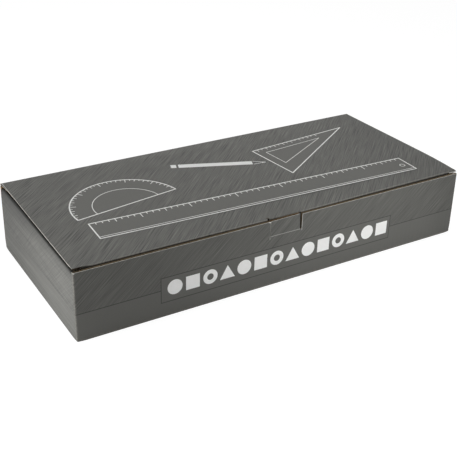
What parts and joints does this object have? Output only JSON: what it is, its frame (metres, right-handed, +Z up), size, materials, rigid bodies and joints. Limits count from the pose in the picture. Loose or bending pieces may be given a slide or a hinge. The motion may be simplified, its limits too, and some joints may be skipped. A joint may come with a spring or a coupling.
{
  "type": "boxed desk whiteboard",
  "caption": "Closed corrugated tuck-front carton with a hinged lid and lock tab, holding a wedge-shaped desk whiteboard, marker, eraser and magnets between foam end inserts.",
  "frame": {"origin": "middle of the carton's footprint, on the surface it stands on", "axes": "+X along the long side, to the right seen from the front; the front wall with the lock tab faces -Y; +Z is up"},
  "size_m": [0.48, 0.214, 0.0833],
  "materials": {
    "carton_board": "satin",
    "foam": "matte",
    "whiteboard_body": "matte",
    "whiteboard_trim": "matte",
    "writing_enamel": "gloss",
    "foot_rubber": "matte",
    "marker_body": "satin",
    "marker_ink_colour": "gloss",
    "nib_felt": "matte",
    "eraser_felt": "matte",
    "eraser_shell": "matte",
    "magnet_shell": "satin",
    "leaflet_paper": "matte"
  },
  "bodies": {
    "tray": {"back_wall": "carton_board", "board_magnets": "magnet_shell", "bottom_panel": "carton_board", "corner_flap_back_left": "carton_board", "corner_flap_back_right": "carton_board", "corner_flap_front_left": "carton_board", "corner_flap_front_right": "carton_board", "end_insert_left": "foam", "end_insert_right": "foam", "eraser_felt": "eraser_felt", "eraser_grip": "eraser_shell", "front_wall": "carton_board", "leaflet": "leaflet_paper", "marker_barrel": "marker_body", "marker_end_plug": "marker_ink_colour", "marker_nib": "nib_felt", "side_wall_inner_left": "carton_board", "side_wall_inner_right": "carton_board", "side_wall_outer_left": "carton_board", "side_wall_outer_right": "carton_board", "side_wall_top_fold_left": "carton_board", "side_wall_top_fold_right": "carton_board", "whiteboard_back_plate": "whiteboard_body", "whiteboard_base_plate": "whiteboard_body", "whiteboard_end_cap_left": "whiteboard_trim", "whiteboard_end_cap_right": "whiteboard_trim", "whiteboard_face_core": "whiteboard_body", "whiteboard_feet": "foot_rubber", "whiteboard_ledge_rim": "whiteboard_body", "whiteboard_top_channel": "whiteboard_body", "whiteboard_writing_sheet": "writing_enamel"},
    "lid": {"lid_panel": "carton_board"},
    "tuck_flap": {"lid_tuck_flap": "carton_board"},
    "lock_tab": {"front_lock_tab": "carton_board"},
    "cap": {"marker_cap": "marker_ink_colour"}
  },
  "joints": [
    {"name": "lid_fold", "type": "hinge", "parent": "tray", "child": "lid", "pos_m": [0, 0.107, 0.0774], "axis": [-1, 0, 0], "range_deg": [0, 179.1]},
    {"name": "tuck_flap_fold", "type": "hinge", "parent": "lid", "child": "tuck_flap", "pos_m": [0, -0.09971, 0.08036], "axis": [1, 0, 0], "range_deg": [0, 88]},
    {"name": "lock_tab_fold", "type": "hinge", "parent": "tray", "child": "lock_tab", "pos_m": [-0.0022, -0.107, 0.0596], "axis": [1, 0, 0], "range_deg": [0, 90]},
    {"name": "marker_cap_pull", "type": "slide", "parent": "tray", "child": "cap", "axis": [1, 0, 0], "range_m": [0, 0.036]}
  ]
}
